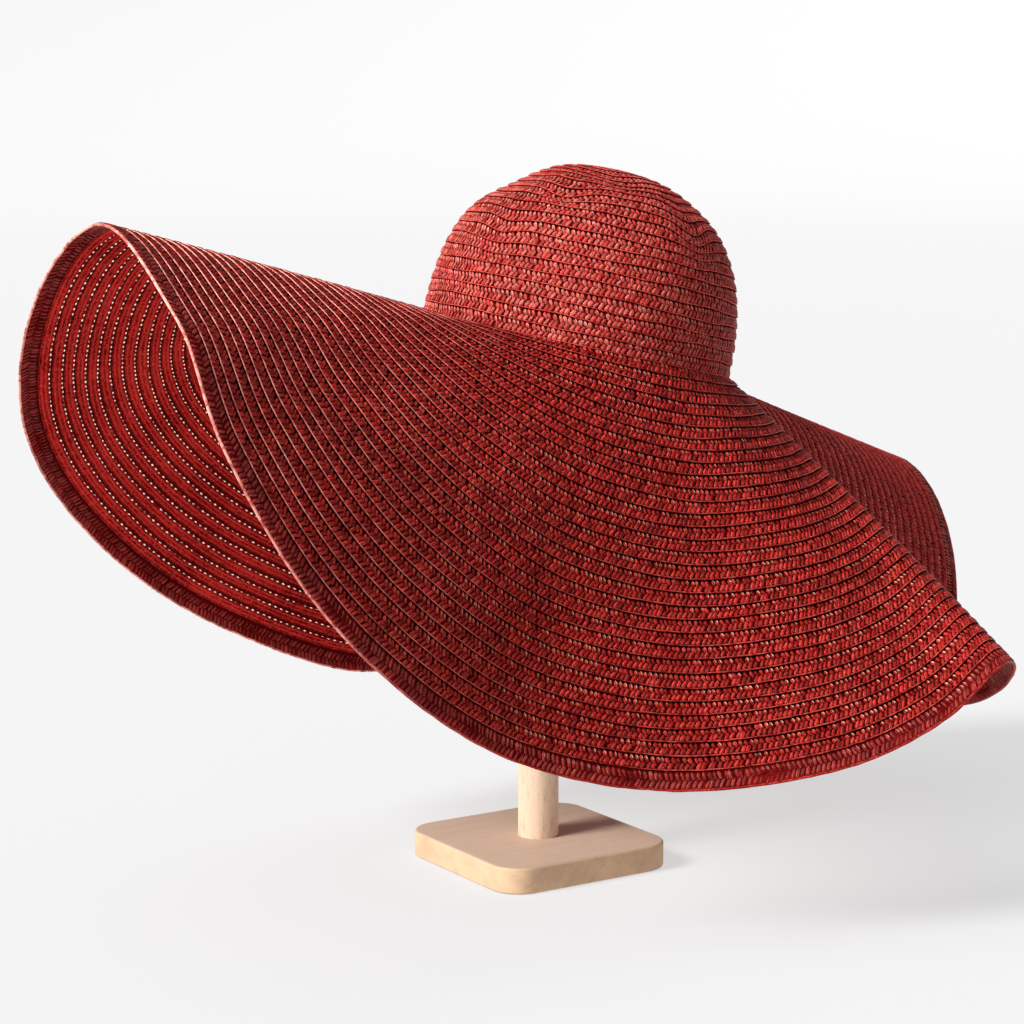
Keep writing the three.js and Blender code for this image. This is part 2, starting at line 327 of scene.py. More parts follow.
# %% Counts of rows and how they lap
CROWN_ROWS = 22
BRIM_ROWS = 31
ROW_LAP = 0.0014
STITCH_PITCH = 0.0030
STITCH_GROUP = 3
FEWEST_STITCHES = 6
CALM_ROWS = 1.5
brim_rows_end = 1 - EDGE_BAND_WIDTH / BRIM_WIDTH

# Azimuth, place from the tip as a share, rows moved down, spread in degrees, reach as a share
CROWN_SAGS = [
    (247, 0.40, 0.9, 13, 0.09),
    (276, 0.27, 0.8, 17, 0.07),
    (316, 0.46, 1.0, 11, 0.12),
    (228, 0.62, 0.5, 9, 0.10),
    (150, 0.50, 0.8, 20, 0.10),
    (60, 0.42, 0.8, 18, 0.12),
]
SAG_DEPTH = 0.0011

# Share of the wander, waves round the hat, turn from one row to the next
WANDER_WAVES = [(0.5, 3, 0.9), (0.3, 7, -1.7), (0.2, 13, 2.3)]


def sag(share, azimuth):
    total = 0
    for middle, place, amount, spread, reach in CROWN_SAGS:
        aside = (azimuth - middle + 180) % 360 - 180
        total = total + amount * np.exp(-(aside / spread) ** 2 - ((share - place) / reach) ** 2)
    return total


def wander(azimuth, row, amount):
    angle = np.radians(azimuth)
    return amount * sum(share * np.sin(waves * angle + turn * row) for share, waves, turn in WANDER_WAVES)


def stitch_count(length):
    return max(FEWEST_STITCHES, STITCH_GROUP * round(length / STITCH_PITCH / STITCH_GROUP))


class Rows:
    """Rows of plait on a surface, counted outwards. Sags is 1 where the rows sag and 0 where they don't."""

    def __init__(self, surface, count, end, amount, sags):
        self.surface = surface
        self.count = count
        self.end = end
        self.amount = amount
        self.sags = sags

    def share(self, row, across, azimuth):
        line = row + across
        calm = np.clip(np.minimum(line, self.count - line) / CALM_ROWS, 0, 1)
        moved = wander(azimuth, line, self.amount) + self.sags * sag(line / self.count, azimuth)
        return (line + moved * calm) / self.count * self.end

    def lap(self, row, across, azimuth):
        sunk = self.sags * SAG_DEPTH * sag((row + across) / self.count, azimuth)
        return ROW_LAP * (across - 0.5) - sunk

    def at(self, row, across, azimuth, offset=0.0):
        return self.surface.at(self.share(row, across, azimuth), azimuth,
                               self.lap(row, across, azimuth) + offset)

    def facing(self, row, across, azimuth):
        return self.surface.facing(self.share(row, across, azimuth), azimuth)

    def stitches(self, row):
        return stitch_count(self.surface.ring(self.middle(row)))

    def middle(self, row):
        return (row + 0.5) / self.count * self.end

    def azimuth_of(self, row, stitch):
        azimuth, way = self.surface.way_round(self.middle(row))
        turns = np.asarray(stitch) / self.stitches(row)
        return np.interp(turns % 1, way, azimuth) + 360 * np.floor(turns)

    def stitch_at(self, row, azimuth):
        known, way = self.surface.way_round(self.middle(row))
        return np.interp(azimuth, known, way) * self.stitches(row)


crown_rows = Rows(crown, CROWN_ROWS, 1.0, 0.16, 1)
brim_rows = Rows(brim, BRIM_ROWS, brim_rows_end, 0.10, 0)
plait_length = sum(rows.surface.ring(rows.middle(row))
                   for rows in (crown_rows, brim_rows) for row in range(rows.count))
print("plait in the hat", round(plait_length, 1), "m")


# %% A mesh from lists, with a map where there is one
def mesh_object(name, points, faces, maps=None):
    mesh = bpy.data.meshes.new(name)
    mesh.from_pydata(points, [], faces)
    if maps is not None:
        layer = mesh.uv_layers.new(name="rows")
        layer.data.foreach_set("uv", np.asarray(maps, np.float32).ravel())
    mesh.shade_smooth()
    print(name, len(mesh.polygons), "faces")
    return add_object(name, mesh)


# The corners of each face on the map, which runs along the row and then across it
def face_corners(left, right, near, far):
    corners = np.zeros((len(left), 4, 2))
    corners[:, (0, 3), 0] = left[:, None]
    corners[:, (1, 2), 0] = right[:, None]
    corners[:, (0, 1), 1] = near
    corners[:, (2, 3), 1] = far
    return corners


# %% [markdown]
# ## The woven ground of each row
#
# Under the straws that show lies the ground of the plait, a thin closed wall. It could be one smooth
# shell with a bump, but its laps throw the dark line along each row, so they are real: every row has its
# own strip of points, and a step joins it to the next row, and a painted shadow deepens that line. The upper
# face lies in the shade of the straws, so its finish is painted dark as shade, and the lower face is the
# smooth side that shows inside the hat, with a finish of its own.

# %% Build the ground
GROUND_THICKNESS = 0.0003
GROUND_DEPTH = 0.0003
GROUND_SIDES = 288


def ground(name, rows):
    azimuth = np.arange(GROUND_SIDES) * 360 / GROUND_SIDES
    across_places = (0.0, 0.5, 1.0)
    lines = [(row, across) for row in range(rows.count) for across in across_places]
    if rows is crown_rows:
        lines = lines[1:]
    outer, inner, heights = [], [], []
    for row, across in lines:
        outer.append(rows.at(row, across, azimuth, GROUND_THICKNESS / 2 - GROUND_DEPTH))
        inner.append(rows.at(row, across, azimuth, -GROUND_THICKNESS / 2 - GROUND_DEPTH))
        heights.append(row + across)
    layers = np.array(outer + inner)
    count = len(lines)
    index = np.arange(2 * count * GROUND_SIDES).reshape(2, count, GROUND_SIDES)
    following = np.roll(index, -1, 2)
    corners_at = np.arange(GROUND_SIDES + 1) * 360 / GROUND_SIDES
    faces, maps, lower_faces = [], [], []

    def add(a, b, c, d, corners):
        faces.append(np.stack([a, b, c, d], -1).reshape(-1, 4))
        maps.append(corners.reshape(-1, 4, 2))

    for line in range(count - 1):
        stitch = rows.stitch_at(lines[line][0], corners_at)
        corners = face_corners(stitch[:-1], stitch[1:], heights[line], heights[line + 1])
        top = index[0, line], following[0, line], following[0, line + 1], index[0, line + 1]
        under = index[1, line], following[1, line], following[1, line + 1], index[1, line + 1]
        add(*top[::-1], corners[:, ::-1])
        add(*under, corners)
        lower_faces += [0] * GROUND_SIDES + [1] * GROUND_SIDES
    no_stitch = np.zeros(GROUND_SIDES)
    for line in (0, count - 1):
        corners = face_corners(no_stitch, no_stitch, heights[line], heights[line])
        rim = index[0, line], following[0, line], following[1, line], index[1, line]
        add(*(rim if line == 0 else rim[::-1]), corners)
        lower_faces += [0] * GROUND_SIDES
    made = mesh_object(name, layers.reshape(-1, 3).tolist(), np.concatenate(faces).tolist(),
                       np.concatenate(maps))
    made.data.polygons.foreach_set("material_index", lower_faces)
    return made


crown_ground = ground("crown_ground", crown_rows)
brim_ground = ground("brim_ground", brim_rows)

# %% [markdown]
# ## The straws of the plait
#
# A plait shows two slanting rows of straws that meet in its middle, which makes small arrowheads all
# along it. Each straw is the same small lens, so the shape is made once and Geometry Nodes puts it at
# every place. The places are a cloud of points that carries each straw's direction, size and tint.

# %% One straw
# Place along the straw, width there as a share
STRAW_STATIONS = [(-0.5, 0.0), (-0.24, 1.0), (0.22, 0.92), (0.5, 0.0)]
STRAW_SIDES = 4


def straw_shape():
    points = [(STRAW_STATIONS[0][0], 0.0, 0.0)]
    for along, full in STRAW_STATIONS[1:-1]:
        points += [(along, 0.5 * full, 0.0), (along, 0.0, 0.5 * full)]
        points += [(along, -0.5 * full, 0.0), (along, 0.0, -0.5 * full)]
    points.append((STRAW_STATIONS[-1][0], 0.0, 0.0))
    first, second = (round(along + 0.5, 2) for along, _ in STRAW_STATIONS[1:-1])
    tip = len(points) - 1
    faces, maps = [], []
    for side in range(STRAW_SIDES):
        here, there = 1 + side, 1 + (side + 1) % STRAW_SIDES
        u_here, u_there = side / STRAW_SIDES, (side + 1) / STRAW_SIDES
        faces.append((0, there, here))
        maps += [(0.0, u_here), (first, u_there), (first, u_here)]
        faces.append((here, there, there + STRAW_SIDES, here + STRAW_SIDES))
        maps += [(first, u_here), (first, u_there), (second, u_there), (second, u_here)]
        faces.append((here + STRAW_SIDES, there + STRAW_SIDES, tip))
        maps += [(second, u_here), (second, u_there), (1.0, u_here)]
    mesh = bpy.data.meshes.new("straw")
    mesh.from_pydata(points, [], faces)
    layer = mesh.uv_layers.new(name="straw")
    layer.data.foreach_set("uv", np.array(maps, np.float32).ravel())
    mesh.shade_smooth()
    return bpy.data.objects.new("straw", mesh)


straw = straw_shape()
print("one straw has", sum(len(face.vertices) - 2 for face in straw.data.polygons), "triangles")

# %% [markdown]
# ## Where the straws lie
#
# Each stitch of a row has two straws, one from each edge, that meet near its middle. On the right of the
# hat the straws are pulled flat, and towards the raised left side they stand up, so their depth changes
# with their place. No two are quite alike: chance moves, turns and sizes each one a little.

# %% Straws for a row
STRAW_WIDTH = 0.0024
WIDEST_SHARE = 0.92
STRAW_DEPTH = 0.0014
FLAT_SHARE = 0.70
CHUNKY_SIDE = (-0.14, 0.02)
STRAW_LIFT = 0.00040
STRAW_SLANT = 0.0021
STRAW_OVERRUN = 1.16
ROW_SHIFT = 0.37
SHAKE = dict(stitch=0.10, slant=0.16, edge=0.018, middle=0.02, width=0.10, depth=0.12)

# Where a straw starts and stops across the row, and its shift along it in stitches
STRAW_HALVES = [(0.08, 0.58, 0.0), (0.985, 0.46, 0.5)]


def straw_places(rows, row, chance):
    count = rows.stitches(row)
    spacing = rows.surface.ring(rows.middle(row)) / count
    places = []
    for half, (edge, middle, shift) in enumerate(STRAW_HALVES):
        stitch = np.arange(count) + shift + ROW_SHIFT * row + chance.normal(0, SHAKE["stitch"], count)
        slant = STRAW_SLANT / spacing / 2 * (1 + chance.normal(0, SHAKE["slant"], count))
        azimuth = rows.azimuth_of(row, stitch)
        start = rows.at(row, edge + chance.normal(0, SHAKE["edge"], count),
                        rows.azimuth_of(row, stitch - slant), STRAW_LIFT)
        stop = rows.at(row, middle + chance.normal(0, SHAKE["middle"], count),
                       rows.azimuth_of(row, stitch + slant), STRAW_LIFT)
        along = stop - start
        length = np.linalg.norm(along, axis=1)
        width = np.full(count, min(STRAW_WIDTH, WIDEST_SHARE * spacing))
        width = width * (1 + chance.normal(0, SHAKE["width"], count))
        raised = 1 - np.clip((start[:, 0] - CHUNKY_SIDE[0]) / (CHUNKY_SIDE[1] - CHUNKY_SIDE[0]), 0, 1)
        depth = STRAW_DEPTH * (FLAT_SHARE + (1 - FLAT_SHARE) * raised)
        depth = depth * (1 + chance.normal(0, SHAKE["depth"], count))
        places.append(dict(
            point=(start + stop) / 2,
            along=along / length[:, None],
            facing=rows.facing(row, (edge + middle) / 2, azimuth),
            size=np.stack([length * STRAW_OVERRUN, width, depth], 1),
            tint=chance.random(count),
            half=np.full(count, float(half)),
        ))
    return places


def join_places(places):
    return {key: np.concatenate([place[key] for place in places]) for key in places[0]}


def cloud_object(name, joined):
    mesh = bpy.data.meshes.new(name)
    mesh.from_pydata(joined["point"].tolist(), [], [])
    for key in ("along", "facing", "size"):
        attribute = mesh.attributes.new(key, "FLOAT_VECTOR", "POINT")
        attribute.data.foreach_set("vector", joined[key].astype(np.float32).ravel())
    for key in ("tint", "half"):
        attribute = mesh.attributes.new(key, "FLOAT", "POINT")
        attribute.data.foreach_set("value", joined[key].astype(np.float32))
    return add_object(name, mesh)


def straw_cloud(name, rows, first, last, seed):
    chance = np.random.default_rng(seed)
    places = [place for row in range(first, last) for place in straw_places(rows, row, chance)]
    return cloud_object(name, join_places(places))


# %% [markdown]
# ## A Geometry Nodes tree that lays the straws
#
# The tree turns each straw with its stored directions, sizes it, makes it real and gives it the
# material. Its inputs are the straw, a share for the straws' depth, and the material. Small helpers make
# a node with its links, read a stored direction, and start and end a tree.

# %% The laying tree
def add_node(tree, kind, settings, values):
    made = tree.nodes.new(kind)
    for key, setting in settings.items():
        setattr(made, key, setting)
    for key, value in values.items():
        if isinstance(value, bpy.types.NodeSocket):
            tree.links.new(value, made.inputs[key])
        else:
            made.inputs[key].default_value = value
    return made.outputs


def stored(tree, name):
    return add_node(tree, "GeometryNodeInputNamedAttribute", {"data_type": "FLOAT_VECTOR"},
                    {"Name": name})["Attribute"]


def start_tree(name, sockets):
    tree = bpy.data.node_groups.new(name, "GeometryNodeTree")
    for label, kind in sockets.items():
        tree.interface.new_socket(label, in_out="INPUT", socket_type="NodeSocket" + kind)
    tree.interface.new_socket("Made", in_out="OUTPUT", socket_type="NodeSocketGeometry")
    return tree, tree.nodes.new("NodeGroupInput").outputs


def end_tree(tree, geometry, material):
    real = add_node(tree, "GeometryNodeRealizeInstances", {}, {"Geometry": geometry})
    finished = add_node(tree, "GeometryNodeSetMaterial", {},
                        {"Geometry": real["Geometry"], "Material": material})
    add_node(tree, "NodeGroupOutput", {}, {"Made": finished["Geometry"]})
    return tree


def laying_tree():
    tree, given = start_tree("lay_straws", {
        "Places": "Geometry", "Straw": "Object", "Depth share": "Float", "Material": "Material"})
    shape = add_node(tree, "GeometryNodeObjectInfo", {}, {"Object": given["Straw"]})
    turn = add_node(tree, "FunctionNodeAxesToRotation", {"primary_axis": "Z", "secondary_axis": "X"},
                    {"Primary Axis": stored(tree, "facing"), "Secondary Axis": stored(tree, "along")})
    deep = add_node(tree, "ShaderNodeCombineXYZ", {}, {"X": 1.0, "Y": 1.0, "Z": given["Depth share"]})
    scale = add_node(tree, "ShaderNodeVectorMath", {"operation": "MULTIPLY"},
                     {0: stored(tree, "size"), 1: deep["Vector"]})
    lay = add_node(tree, "GeometryNodeInstanceOnPoints", {}, {
        "Points": given["Places"], "Instance": shape["Geometry"], "Rotation": turn["Rotation"],
        "Scale": scale["Vector"]})
    return end_tree(tree, lay["Instances"], given["Material"])


def run_tree(name, source, tree, values):
    modifier = source.modifiers.new("nodes", "NODES")
    modifier.node_group = tree
    for item in tree.interface.items_tree:
        if item.item_type == "SOCKET" and item.in_out == "INPUT" and item.name in values:
            modifier[item.identifier] = values[item.name]
    bpy.context.view_layer.update()
    evaluated = source.evaluated_get(bpy.context.evaluated_depsgraph_get())
    mesh = bpy.data.meshes.new_from_object(evaluated)
    mesh.name = name
    mesh.shade_smooth()
    source.modifiers.remove(modifier)
    bpy.data.objects.remove(source)
    print(name, sum(len(face.vertices) - 2 for face in mesh.polygons), "triangles")
    return add_object(name, mesh)


# %% [markdown]
# ## Shader maths in Python
#
# A material is easier to read as sums and products than as a web of nodes. The Value class wraps a
# socket, so `1 - mask * 0.5` builds the nodes it needs, and one method makes any other node.

# %% The helpers for materials
class Value:
    def __init__(self, finish, socket):
        self.finish = finish
        self.socket = socket

    def maths(self, operation, *others):
        return self.finish.node("ShaderNodeMath", {"operation": operation}, dict(enumerate((self, *others))))

    def __add__(self, other):
        return self.maths("ADD", other)

    def __radd__(self, other):
        return self.maths("ADD", other)

    def __sub__(self, other):
        return self.maths("SUBTRACT", other)

    def __rsub__(self, other):
        return self.finish.node("ShaderNodeMath", {"operation": "SUBTRACT"}, {0: other, 1: self})

    def __mul__(self, other):
        return self.maths("MULTIPLY", other)

    def __pow__(self, other):
        return self.maths("POWER", other)

    def fraction(self):
        return self.maths("FRACT")

    def sine(self):
        return self.maths("SINE")

    def over(self, low, high):
        return self.finish.node("ShaderNodeMapRange", {"interpolation_type": "SMOOTHSTEP"},
                                {"Value": self, "From Min": low, "From Max": high})


class Finish:
    """A material under construction."""

    def __init__(self, name):
        self.material = bpy.data.materials.new(name)
        self.material.use_nodes = True
        self.tree = self.material.node_tree
        self.tree.nodes.clear()

    def node(self, kind, settings=None, values=None, output=0):
        sockets = {key: value.socket if isinstance(value, Value) else value
                   for key, value in (values or {}).items()}
        return Value(self, add_node(self.tree, kind, settings or {}, sockets)[output])

    def mix(self, share, first, second):
        first, second = (value if isinstance(value, Value) else (*value, 1.0) for value in (first, second))
        return self.node("ShaderNodeMix", {"data_type": "RGBA"}, {0: share, 6: first, 7: second}, 2)

    def attribute(self, name):
        return self.node("ShaderNodeAttribute", {"attribute_name": name}, output="Fac")

    def uv(self, name):
        return self.node("ShaderNodeUVMap", {"uv_map": name})

    def place(self):
        return self.node("ShaderNodeTexCoord", output="Object")

    def split(self, vector):
        parts = self.node("ShaderNodeSeparateXYZ", values={0: vector}).socket.node.outputs
        return [Value(self, part) for part in parts]

    def join(self, x, y, z):
        return self.node("ShaderNodeCombineXYZ", values={0: x, 1: y, 2: z})

    def noise(self, vector, scale, detail=2.0, roughness=0.5):
        return self.node("ShaderNodeTexNoise", values={
            "Vector": vector, "Scale": scale, "Detail": detail, "Roughness": roughness})

    def bump(self, height, distance, strength):
        return self.node("ShaderNodeBump", values={
            "Height": height, "Distance": distance, "Strength": strength})

    def surface(self, values, constants):
        shader = self.node("ShaderNodeBsdfPrincipled", values={**constants, **values})
        add_node(self.tree, "ShaderNodeOutputMaterial", {}, {"Surface": shader.socket})
        return self.material


def darker(colour, share):
    return tuple(share * channel for channel in colour)


# %% [markdown]
# ## Dyed straw
#
# Dyed straw is a deep red with a silky gloss. No two straws take the colour alike, and fine fibres and a
# groove run along each one; the groove is also painted darker, as painted shade. Where some straws come out
# from under the row before, they carry pale flecks, which are painted highlights. The colour comes from the
# tint that each straw carries, from slow changes over the hat, and from the place on the straw, whose tucked
# end is darkened as painted shade. The flecks lie on the middle and right of the hat alone, where the light
# passes. The crown's colours are lighter and pinker than the brim's, a painted sheen for its lit left front;
# painted shade turns the crown deeper towards its right, and painted light turns the brim lighter towards
# the back.

# %% Straw finishes
STRAW_GLOSS = (1.0, 0.42, 0.35, 1.0)
FLECK_PLACE = 0.19
FLECK_WIDTH = 0.10
LIT_FLECK_SIDE = (-0.12, 0.02)
FLECK_END = (0.42, 0.56)
GROOVE_PLACE = 0.25
GROOVE_WIDTH = 0.035
GROOVE_SHARE = 0.6
GROOVE_SHADE = 0.6
TUCKED_END = (0.72, 1.0)
TUCKED_SHARE = 0.5
TUCKED_SHADE = 0.35
STRAW_PATCHES = 26.0
FLECK_PATCHES = 17.0
STRAW_FINE_MARKS = 1400.0


def straw_finish(name, deep, middle, bright, pale_highlight, flecks, gloss, light_and_shade=None):
    finish = Finish(name)
    tint = finish.attribute("tint")
    along, around, _ = finish.split(finish.uv("straw"))
    place = finish.place()
    patches = finish.noise(place, STRAW_PATCHES, 3.0)
    fibres = finish.noise(finish.join(along * 1.4 + tint * 31.0, around * 22.0, tint * 57.0), 1.0, 2.0, 0.7)
    colour = finish.mix((tint * 0.35 + fibres * 0.8 + patches * 0.5 - 0.45).over(0.1, 0.75), deep, middle)
    colour = finish.mix(((tint * 7.31).fraction() * 0.16 + fibres).over(0.52, 0.80), colour, bright)
    # Painted highlight: pale flecks near the start of the inner straws, kept by slow patches and by side to
    # the middle and right of the hat, where the light passes.
    off_line = ((around - FLECK_PLACE) * (1 / FLECK_WIDTH)) ** 2.0
    fleck = (1 - off_line.over(0.5, 1.0)) * (1 - along.over(*FLECK_END)) * (1 - finish.attribute("half"))
    fleck_patches = finish.noise(place, FLECK_PATCHES, 3.0).over(0.36, 0.56)
    across_hat, back_of_hat, _ = finish.split(place)
    fleck = fleck * (tint * 13.7).fraction().over(0.35, 0.60) * fleck_patches * flecks
    fleck = fleck * across_hat.over(*LIT_FLECK_SIDE)
    # Painted light and shade: the colour blends towards a given red by place on the hat, deeper where it
    # paints shade and lighter where it paints light.
    if light_and_shade:
        position = {"x": across_hat, "y": back_of_hat}[light_and_shade["axis"]]
        colour = finish.mix(position.over(*light_and_shade["span"]) * light_and_shade["share"], colour, light_and_shade["painted_colour"])
    colour = finish.mix(fleck, colour, pale_highlight)
    # Painted shade: the groove along each straw is painted darker as well as sunk by the bump.
    groove = 1 - (((around - GROOVE_PLACE) * (1 / GROOVE_WIDTH)) ** 2.0).over(0.2, 1.0)
    colour = finish.mix(groove * GROOVE_SHARE, colour, darker(deep, GROOVE_SHADE))
    # Painted shade: the end of each straw that tucks under its neighbour is painted darker.
    tucked_shade = along.over(*TUCKED_END) * TUCKED_SHARE
    colour = finish.mix(tucked_shade, colour, darker(deep, TUCKED_SHADE))
    fine = finish.noise(place, STRAW_FINE_MARKS, 2.0)
    normal = finish.bump(fibres + fine * 0.2 - groove * 0.6, 0.0005, 0.9)
    rough = 0.34 + fibres * 0.22
    return finish.surface(
        {"Base Color": colour, "Roughness": rough, "Normal": normal},
        {"Specular IOR Level": gloss, "Specular Tint": STRAW_GLOSS},
    )


# Painted sheen, shade and light: the crown's colours are lighter and pinker than the brim's as a painted
# sheen for its lit left front, the crown's blend deepens them towards its right as painted shade, and the
# brim's blend lightens the brim towards its back as painted light.
CROWN_PAINTED_SHADE = dict(axis="x", span=(0.0, 0.11), share=0.62, painted_colour=(0.30, 0.006, 0.006))
BRIM_PAINTED_LIGHT = dict(axis="y", span=(0.0, 0.12), share=0.45, painted_colour=(0.72, 0.026, 0.026))
crown_straw = straw_finish("crown_straw_finish", (0.30, 0.008, 0.008), (0.74, 0.058, 0.048),
                           (1.0, 0.310, 0.235), (1.0, 0.60, 0.48), 0.6, 0.35, CROWN_PAINTED_SHADE)
brim_straw = straw_finish("brim_straw_finish", (0.12, 0.002, 0.002), (0.40, 0.008, 0.008),
                          (0.76, 0.060, 0.044), (1.0, 0.56, 0.37), 1.0, 0.3, BRIM_PAINTED_LIGHT)

# %% [markdown]
# ## The smooth side of the rows
#
# From below, a row shows three faint ridges, a painted shadow along the seam beside its edge, and a line of
# needle holes that light comes through. Real holes would need millions of faces, and see-through spots
# would show as grey lines, so each hole is a pale dot with a faint glow, painted light for the light that
# comes through, two for every three stitches.

# %% Ground finishes
NEEDLE_BEAT = 2 / 3
NEEDLE_ACROSS = 0.20
NEEDLE_STRAY = 0.12
NEEDLE_SOFTNESS = (0.25, 0.45)
NEEDLE_SHORTENED = 2.9
NEEDLE_FLATTENED = 10.5
NEEDLE_LIGHT = (1.0, 0.84, 0.70)
NEEDLE_SHINE = 0.5
STRAW_SPECK = (0.90, 0.20, 0.15)
SPECK_SHARE = 0.35
GROUND_RIDGES = 3
SEAM_WIDTH = (0.03, 0.17)
SEAM_SHARE = 0.97
SEAM_SHADE = 0.25
GROUND_PATCHES = 24.0
GROUND_GRAIN = 620.0


def ground_finish(name, dark, light, holes):
    finish = Finish(name)
    along, row, _ = finish.split(finish.uv("rows"))
    place = finish.place()
    across = row.fraction()
    weave = finish.noise(finish.join(along * 0.22, row * 7.0, 0.0), 2.2, 3.0, 0.65)
    twill = finish.noise(finish.join(along * 1.5 + across * 1.2, row * 2.0, 3.0), 1.6, 2.0)
    slow = finish.noise(place, GROUND_PATCHES, 3.0)
    bend = finish.noise(finish.join(along * 0.12, row, 7.0), 1.0, 2.0)
    ridges = ((row + bend * 0.12) * (2 * math.pi * GROUND_RIDGES)).sine() * 0.5 + 0.5
    grain = finish.noise(place, GROUND_GRAIN, 2.0, 0.7)
    tone = weave * 1.1 + ridges * 0.24 + twill * 0.5 + slow * 0.5 + grain * 0.5 - 0.96
    colour = finish.mix(tone.over(0.16, 0.70), dark, light)
    if holes:
        colour = finish.mix(grain.over(0.60, 0.72) * SPECK_SHARE, colour, STRAW_SPECK)
    # Painted shadow: each row is darkened along its inner edge, beside the seam.
    seam_shade = 1 - across.over(*SEAM_WIDTH)
    colour = finish.mix(seam_shade * SEAM_SHARE, colour, darker(dark, SEAM_SHADE))
    normal = finish.bump(weave * 0.7 + ridges * 0.45 + grain * 0.3, 0.0010, 1.0)
    shine = (0.0, 0.0, 0.0, 1.0)
    # Painted light: each needle hole is a pale dot with a faint glow, standing in for the light that comes
    # through it.
    if holes:
        beat = (along * NEEDLE_BEAT).fraction()
        stray = finish.noise(finish.join(along * 0.35, row * 3.1, 0.0), 1.0, 1.0)
        aside = (across - NEEDLE_ACROSS + stray * NEEDLE_STRAY) * NEEDLE_FLATTENED
        around_hole = ((beat - 0.5) * NEEDLE_SHORTENED) ** 2.0 + aside ** 2.0
        lit = finish.noise(finish.join(along * 0.8, row * 7.3, 5.0), 1.0, 1.0).over(0.40, 0.50)
        dot = (1 - around_hole.over(*NEEDLE_SOFTNESS)) * lit
        colour = finish.mix(dot, colour, NEEDLE_LIGHT)
        shine = finish.mix(dot, (0.0, 0.0, 0.0), NEEDLE_LIGHT)
    return finish.surface(
        {"Base Color": colour, "Roughness": 0.45 + weave * 0.2, "Normal": normal, "Emission Color": shine},
        {"Specular IOR Level": 0.0, "Emission Strength": NEEDLE_SHINE})


# Painted shade: the upper colours are the plait painted much darker than the lower ones, as shade under the
# straws.
GROUND_FINISHES = {
    "crown": [((0.07, 0.002, 0.002), (0.20, 0.008, 0.008)), ((0.16, 0.006, 0.006), (0.62, 0.046, 0.034))],
    "brim": [((0.04, 0.001, 0.001), (0.13, 0.004, 0.004)), ((0.13, 0.003, 0.003), (0.76, 0.042, 0.034))],
}
for piece, kind in ((crown_ground, "crown"), (brim_ground, "brim")):
    for side, (dark, light) in zip(("upper", "lower"), GROUND_FINISHES[kind]):
        name = f"{kind}_{side}_ground_finish"
        piece.data.materials.append(ground_finish(name, dark, light, side == "lower"))

# %% Lay the straws on the crown and the brim
STRAW_DEPTH_SHARE = 0.95
FIRST_SEED = 5
BRIM_STOPS = [0, 14, 23, BRIM_ROWS]

lay_straws = laying_tree()
straw_groups = [("crown_straws", crown_rows, 0, CROWN_ROWS, crown_straw)]
for number, (first, last) in enumerate(zip(BRIM_STOPS, BRIM_STOPS[1:]), 1):
    straw_groups.append((f"brim_straws_{number}", brim_rows, first, last, brim_straw))
straw_pieces = {}
for seed, (name, rows, first, last, material) in enumerate(straw_groups, FIRST_SEED):
    cloud = straw_cloud(name + "_places", rows, first, last, seed)
    straw_pieces[name] = run_tree(name, cloud, lay_straws, {
        "Straw": straw, "Depth share": STRAW_DEPTH_SHARE, "Material": material})

# %% [markdown]
# ## The folded rims
#
# Each row's outer edge is a fold, which catches the light as a thin bright line. It follows the row all
# round the hat, so Geometry Nodes sweeps a small circle along one closed line for each row. On the raised
# side of the brim these lines are the brightest thing on the hat, so a painted highlight makes them pale
# there, where the key light falls.

# %% The rim tree
RIM_RADIUS = 0.00048
RIM_SIDES = 300
RIM_SHAKE = 0.012
RIM_PLACE = 0.985
RIM_LIFT = 0.00012
RIM_LIFT_SHAKE = 0.004
RIM_FACETS = 3
RIM_SEEDS = {"crown": 3, "brim": 4}


def rim_tree():
    tree, given = start_tree("sweep_rims", {
        "Lines": "Geometry", "Radius": "Float", "Sides": "Int", "Material": "Material"})
    curve = add_node(tree, "GeometryNodeMeshToCurve", {}, {"Mesh": given["Lines"]})
    circle = add_node(tree, "GeometryNodeCurvePrimitiveCircle", {},
                      {"Resolution": given["Sides"], "Radius": given["Radius"]})
    sweep = add_node(tree, "GeometryNodeCurveToMesh", {},
                     {"Curve": curve["Curve"], "Profile Curve": circle["Curve"]})
    return end_tree(tree, sweep["Mesh"], given["Material"])


def rim_lines(name, rows, seed, lift=RIM_LIFT):
    chance = np.random.default_rng(seed)
    azimuth = np.arange(RIM_SIDES) * 360 / RIM_SIDES
    points, edges = [], []
    for row in range(rows.count):
        start = row * RIM_SIDES
        shake = chance.normal(0, RIM_SHAKE, RIM_SIDES)
        points.append(rows.at(row, RIM_PLACE + shake, azimuth, lift + shake * RIM_LIFT_SHAKE))
        index = np.arange(RIM_SIDES)
        edges.append(np.stack([start + index, start + (index + 1) % RIM_SIDES], 1))
    mesh = bpy.data.meshes.new(name)
    mesh.from_pydata(np.concatenate(points).tolist(), np.concatenate(edges).tolist(), [])
    return add_object(name, mesh)


# %% Rim finishes
RIM_HIGHLIGHT = (1.0, 0.42, 0.34)
HIGHLIT_SIDE = (-0.19, 0.0)
RIM_TWIST = 420.0
RIM_PATCHES = 30.0
HIGHLIGHT_BREAKUP = 240.0


